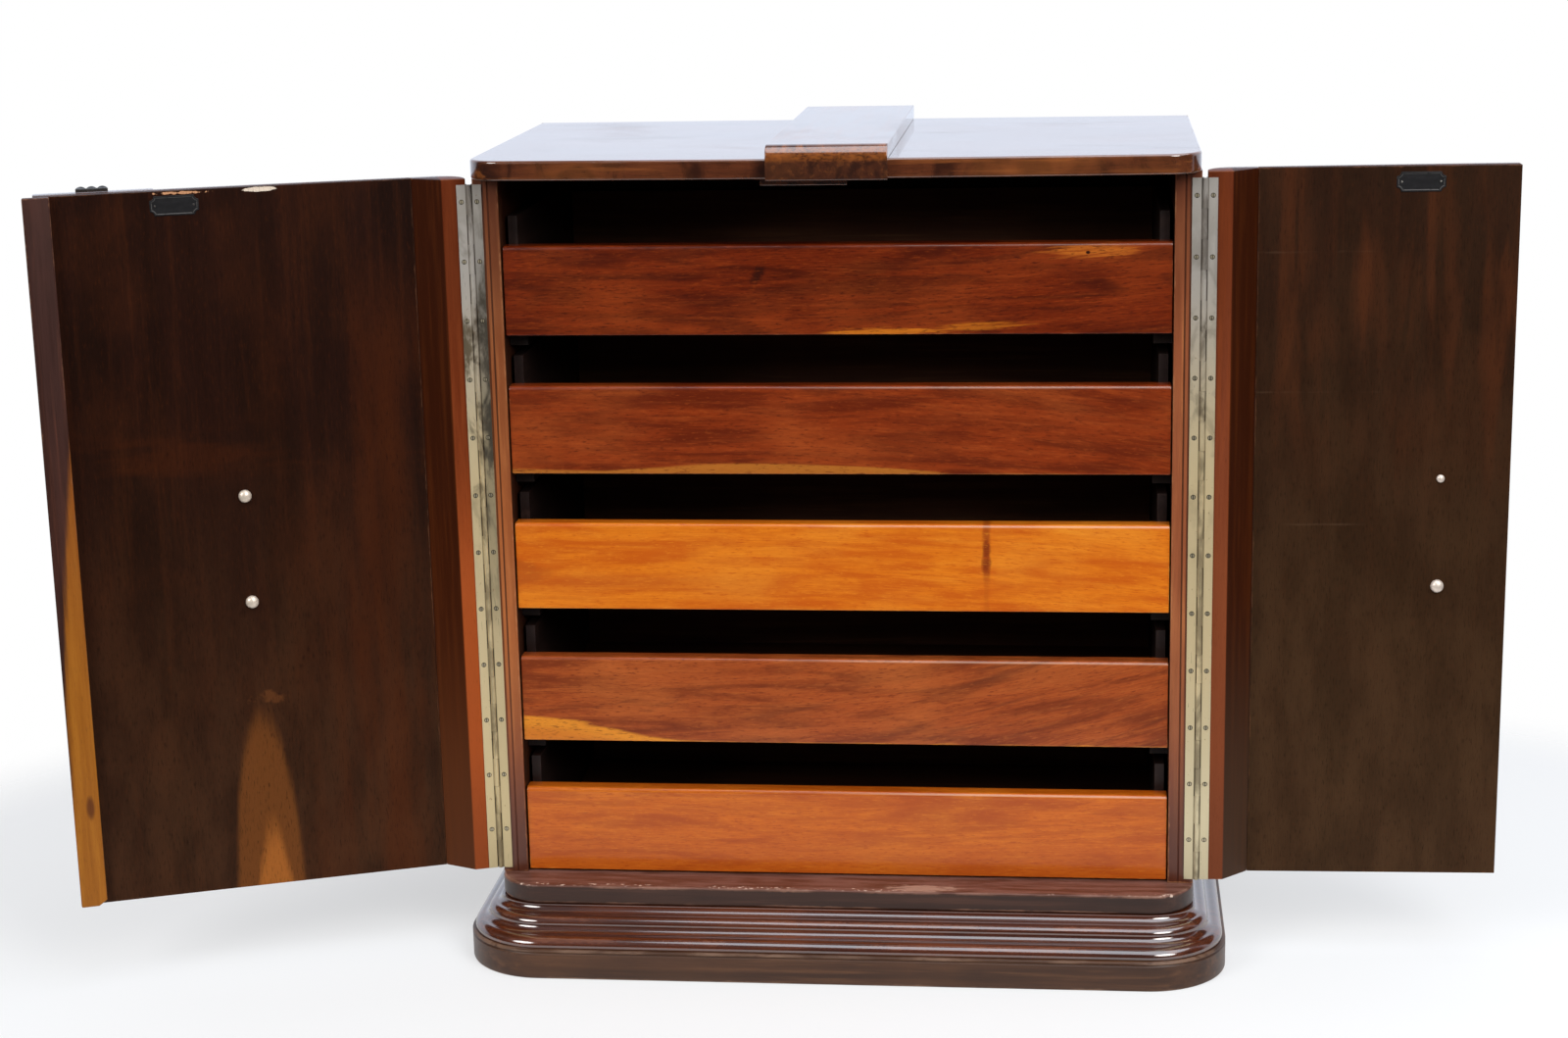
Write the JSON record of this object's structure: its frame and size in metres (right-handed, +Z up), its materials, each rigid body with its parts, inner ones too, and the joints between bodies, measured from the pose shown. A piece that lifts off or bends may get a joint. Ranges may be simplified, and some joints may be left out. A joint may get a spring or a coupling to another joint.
{
  "type": "two-door cabinet",
  "caption": "Low two-door cabinet with rounded front, reeded base, a raised strip over the top, doors on continuous hinges and open-topped sliding trays inside.",
  "frame": {"origin": "middle of the base board's underside, on the floor", "axes": "+Z up, -Y out of the front where the trays are drawn, +X to the right as seen from the front"},
  "size_m": [1.2211, 0.4258, 0.72],
  "materials": {
    "walnut": "gloss",
    "cedar": "satin",
    "pale_wood": "matte",
    "ebonised": "gloss",
    "nickel": "worn"
  },
  "bodies": {
    "case": {"base_board": "walnut", "reeded_board": "walnut", "bottom_board": "walnut", "left_side": "walnut", "right_side": "walnut", "back_panel": "pale_wood", "top_board": "walnut", "top_strip": "walnut", "stop_block": "walnut", "runner_left_2": "pale_wood", "runner_right_2": "pale_wood", "runner_left_3": "pale_wood", "runner_right_3": "pale_wood", "runner_left_4": "pale_wood", "runner_right_4": "pale_wood", "runner_left_5": "pale_wood", "runner_right_5": "pale_wood", "left_case_leaf": "nickel", "left_hinge_pin": "nickel", "right_case_leaf": "nickel", "right_hinge_pin": "nickel"},
    "left_door": {"left_door_post": "walnut", "left_door_panel": "walnut", "left_door_lip": "walnut", "centre_band": "walnut", "triple_reed": "ebonised", "left_door_leaf": "nickel", "left_door_pull": "nickel"},
    "right_door": {"right_door_post": "walnut", "right_door_panel": "walnut", "right_door_leaf": "nickel", "right_door_pull": "nickel"},
    "tray_1": {"tray_1_front": "cedar", "tray_1_left_side": "pale_wood", "tray_1_right_side": "pale_wood", "tray_1_floor": "pale_wood", "tray_1_back": "pale_wood"},
    "tray_2": {"tray_2_front": "cedar", "tray_2_left_side": "pale_wood", "tray_2_right_side": "pale_wood", "tray_2_floor": "pale_wood", "tray_2_back": "pale_wood"},
    "tray_3": {"tray_3_front": "cedar", "tray_3_left_side": "pale_wood", "tray_3_right_side": "pale_wood", "tray_3_floor": "pale_wood", "tray_3_back": "pale_wood"},
    "tray_4": {"tray_4_front": "cedar", "tray_4_left_side": "pale_wood", "tray_4_right_side": "pale_wood", "tray_4_floor": "pale_wood", "tray_4_back": "pale_wood"},
    "tray_5": {"tray_5_front": "cedar", "tray_5_left_side": "pale_wood", "tray_5_right_side": "pale_wood", "tray_5_floor": "pale_wood", "tray_5_back": "pale_wood"}
  },
  "joints": [
    {"name": "left_door_hinge", "type": "hinge", "parent": "case", "child": "left_door", "pos_m": [-0.3074, -0.1185, 0.3803], "axis": [0, 0, -1], "range_deg": [-158.8, 31.2]},
    {"name": "right_door_hinge", "type": "hinge", "parent": "case", "child": "right_door", "pos_m": [0.3074, -0.1185, 0.3803], "axis": [0, 0, 1], "range_deg": [-181.3, 8.7]},
    {"name": "tray_1_slide", "type": "slide", "parent": "case", "child": "tray_1", "axis": [0, -1, 0], "range_m": [0, 0.24]},
    {"name": "tray_2_slide", "type": "slide", "parent": "case", "child": "tray_2", "axis": [0, -1, 0], "range_m": [0, 0.24]},
    {"name": "tray_3_slide", "type": "slide", "parent": "case", "child": "tray_3", "axis": [0, -1, 0], "range_m": [0, 0.24]},
    {"name": "tray_4_slide", "type": "slide", "parent": "case", "child": "tray_4", "axis": [0, -1, 0], "range_m": [0, 0.24]},
    {"name": "tray_5_slide", "type": "slide", "parent": "case", "child": "tray_5", "axis": [0, -1, 0], "range_m": [0, 0.24]}
  ]
}
